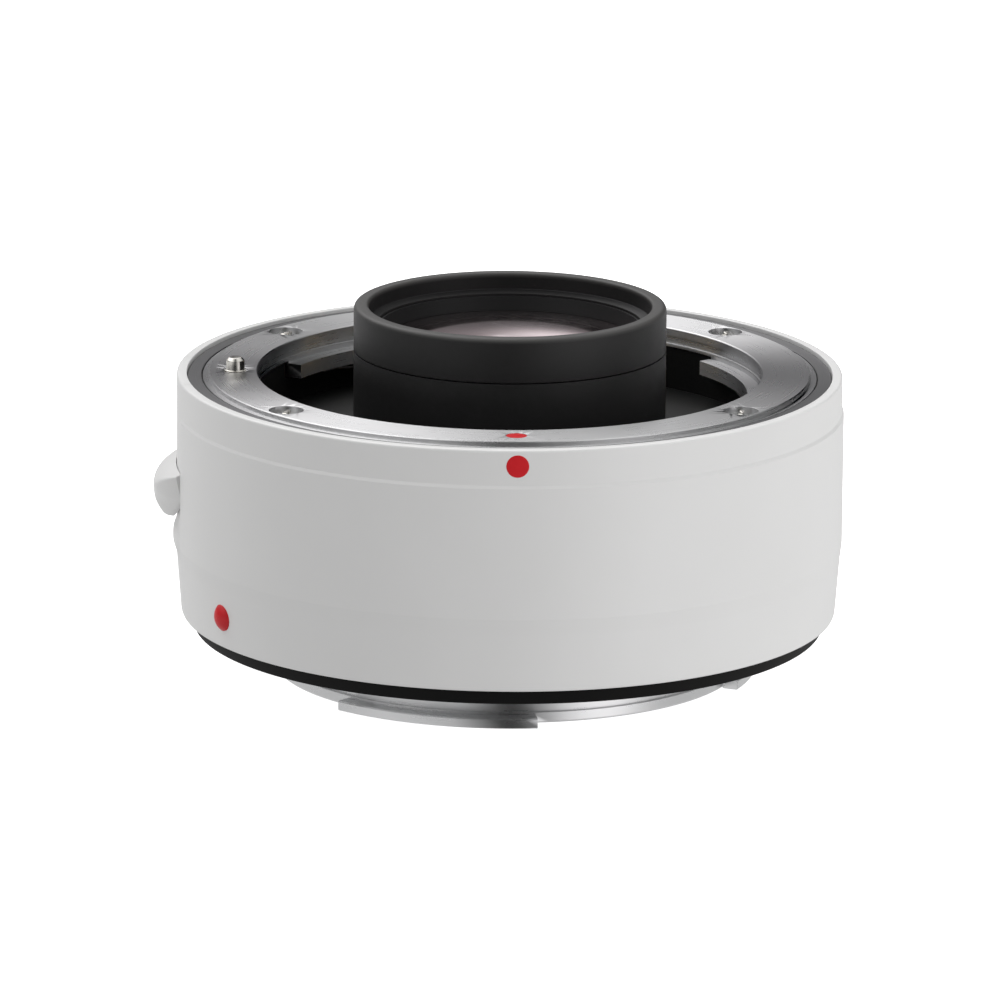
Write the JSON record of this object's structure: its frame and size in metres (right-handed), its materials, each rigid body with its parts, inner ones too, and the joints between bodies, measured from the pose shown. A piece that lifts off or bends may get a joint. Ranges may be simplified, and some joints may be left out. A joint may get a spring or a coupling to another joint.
{
  "type": "camera teleconverter",
  "caption": "Short white barrel that fits between camera and lens, with a keyed bayonet at each end, a raised black hood, a release lever and sprung contacts.",
  "frame": {"origin": "on the optical axis, at the plate face that meets the camera", "axes": "+Z along the optical axis to the lens side; the index dot is at -Y and the release lever at -X"},
  "size_m": [0.0745, 0.072, 0.0399],
  "materials": {
    "white_paint": "satin",
    "satin_dark": "satin",
    "polished_steel": "polished",
    "screw_steel": "polished",
    "spring_steel": "satin",
    "index_red": "gloss",
    "cast_frame": "matte",
    "black_matte": "matte",
    "black_plastic": "matte",
    "gold_contact": "polished",
    "amber_film": "satin",
    "green_board": "satin",
    "chip_black": "matte",
    "black_anodised": "satin",
    "seal_rubber": "matte",
    "coated_glass": "polished"
  },
  "bodies": {
    "converter": {"outer_housing": "white_paint", "front_trim_ring": "satin_dark", "lens_mount_ring": "polished_steel", "camera_mount": "polished_steel", "lens_mount_screws": "screw_steel", "camera_mount_screws": "screw_steel", "lens_mount_leaf_springs": "spring_steel", "lock_pin_spring": "spring_steel", "lever_return_springs": "spring_steel", "contact_springs": "spring_steel", "lever_guide_posts": "spring_steel", "board_screws": "screw_steel", "barrel_screws": "screw_steel", "lens_contact_screws": "screw_steel", "camera_contact_screws": "screw_steel", "body_index_dot": "index_red", "flange_index_dot": "index_red", "side_index_bead": "index_red", "main_frame": "cast_frame", "well_liner": "black_matte", "camera_light_baffle": "black_matte", "lens_contact_block": "black_plastic", "camera_contact_block": "black_plastic", "camera_contact_pads": "gold_contact", "lens_flex": "amber_film", "camera_flex": "amber_film", "main_board": "green_board", "board_chips": "chip_black", "front_hood": "black_anodised", "lens_barrel": "black_anodised", "front_retaining_ring": "black_anodised", "rear_retaining_ring": "black_anodised", "group_spacer_front": "black_anodised", "group_spacer_rear": "black_anodised", "camera_seal_ring": "seal_rubber", "lens_element_1": "coated_glass", "lens_element_2": "coated_glass", "lens_element_3": "coated_glass", "lens_element_4": "coated_glass", "lens_element_5": "coated_glass", "lens_element_6": "coated_glass", "lens_element_7": "coated_glass"},
    "release_lever": {"release_lever": "white_paint", "lever_carriage": "spring_steel", "lever_screws": "screw_steel"},
    "lock_pin": {"lock_pin": "screw_steel"},
    "contact_pin_1": {"contact_pin_1": "gold_contact"},
    "contact_pin_2": {"contact_pin_2": "gold_contact"},
    "contact_pin_3": {"contact_pin_3": "gold_contact"},
    "contact_pin_4": {"contact_pin_4": "gold_contact"},
    "contact_pin_5": {"contact_pin_5": "gold_contact"},
    "contact_pin_6": {"contact_pin_6": "gold_contact"},
    "contact_pin_7": {"contact_pin_7": "gold_contact"},
    "contact_pin_8": {"contact_pin_8": "gold_contact"},
    "contact_pin_9": {"contact_pin_9": "gold_contact"},
    "contact_pin_10": {"contact_pin_10": "gold_contact"},
    "contact_pin_11": {"contact_pin_11": "gold_contact"}
  },
  "joints": [
    {"name": "release_lever_slide", "type": "slide", "parent": "converter", "child": "release_lever", "axis": [0, 0, -1], "range_m": [0, 0.002], "stiffness_N_per_m": 400, "springref_m": -0.002, "deforming": ["lever_return_springs"]},
    {"name": "lock_pin_slide", "type": "slide", "parent": "converter", "child": "lock_pin", "axis": [0, 0, -1], "range_m": [0, 0.002], "stiffness_N_per_m": 200, "springref_m": -0.002, "deforming": ["lock_pin_spring"]},
    {"name": "contact_pin_1_slide", "type": "slide", "parent": "converter", "child": "contact_pin_1", "axis": [0, 0, -1], "range_m": [0, 0.001], "stiffness_N_per_m": 200, "springref_m": -0.001, "deforming": ["contact_springs"]},
    {"name": "contact_pin_2_slide", "type": "slide", "parent": "converter", "child": "contact_pin_2", "axis": [0, 0, -1], "range_m": [0, 0.001], "stiffness_N_per_m": 200, "springref_m": -0.001, "deforming": ["contact_springs"]},
    {"name": "contact_pin_3_slide", "type": "slide", "parent": "converter", "child": "contact_pin_3", "axis": [0, 0, -1], "range_m": [0, 0.001], "stiffness_N_per_m": 200, "springref_m": -0.001, "deforming": ["contact_springs"]},
    {"name": "contact_pin_4_slide", "type": "slide", "parent": "converter", "child": "contact_pin_4", "axis": [0, 0, -1], "range_m": [0, 0.001], "stiffness_N_per_m": 200, "springref_m": -0.001, "deforming": ["contact_springs"]},
    {"name": "contact_pin_5_slide", "type": "slide", "parent": "converter", "child": "contact_pin_5", "axis": [0, 0, -1], "range_m": [0, 0.001], "stiffness_N_per_m": 200, "springref_m": -0.001, "deforming": ["contact_springs"]},
    {"name": "contact_pin_6_slide", "type": "slide", "parent": "converter", "child": "contact_pin_6", "axis": [0, 0, -1], "range_m": [0, 0.001], "stiffness_N_per_m": 200, "springref_m": -0.001, "deforming": ["contact_springs"]},
    {"name": "contact_pin_7_slide", "type": "slide", "parent": "converter", "child": "contact_pin_7", "axis": [0, 0, -1], "range_m": [0, 0.001], "stiffness_N_per_m": 200, "springref_m": -0.001, "deforming": ["contact_springs"]},
    {"name": "contact_pin_8_slide", "type": "slide", "parent": "converter", "child": "contact_pin_8", "axis": [0, 0, -1], "range_m": [0, 0.001], "stiffness_N_per_m": 200, "springref_m": -0.001, "deforming": ["contact_springs"]},
    {"name": "contact_pin_9_slide", "type": "slide", "parent": "converter", "child": "contact_pin_9", "axis": [0, 0, -1], "range_m": [0, 0.001], "stiffness_N_per_m": 200, "springref_m": -0.001, "deforming": ["contact_springs"]},
    {"name": "contact_pin_10_slide", "type": "slide", "parent": "converter", "child": "contact_pin_10", "axis": [0, 0, -1], "range_m": [0, 0.001], "stiffness_N_per_m": 200, "springref_m": -0.001, "deforming": ["contact_springs"]},
    {"name": "contact_pin_11_slide", "type": "slide", "parent": "converter", "child": "contact_pin_11", "axis": [0, 0, -1], "range_m": [0, 0.001], "stiffness_N_per_m": 200, "springref_m": -0.001, "deforming": ["contact_springs"]}
  ],
  "couplings": [
    {"joint": "lock_pin_slide", "follows": "release_lever_slide", "ratio": 1}
  ]
}
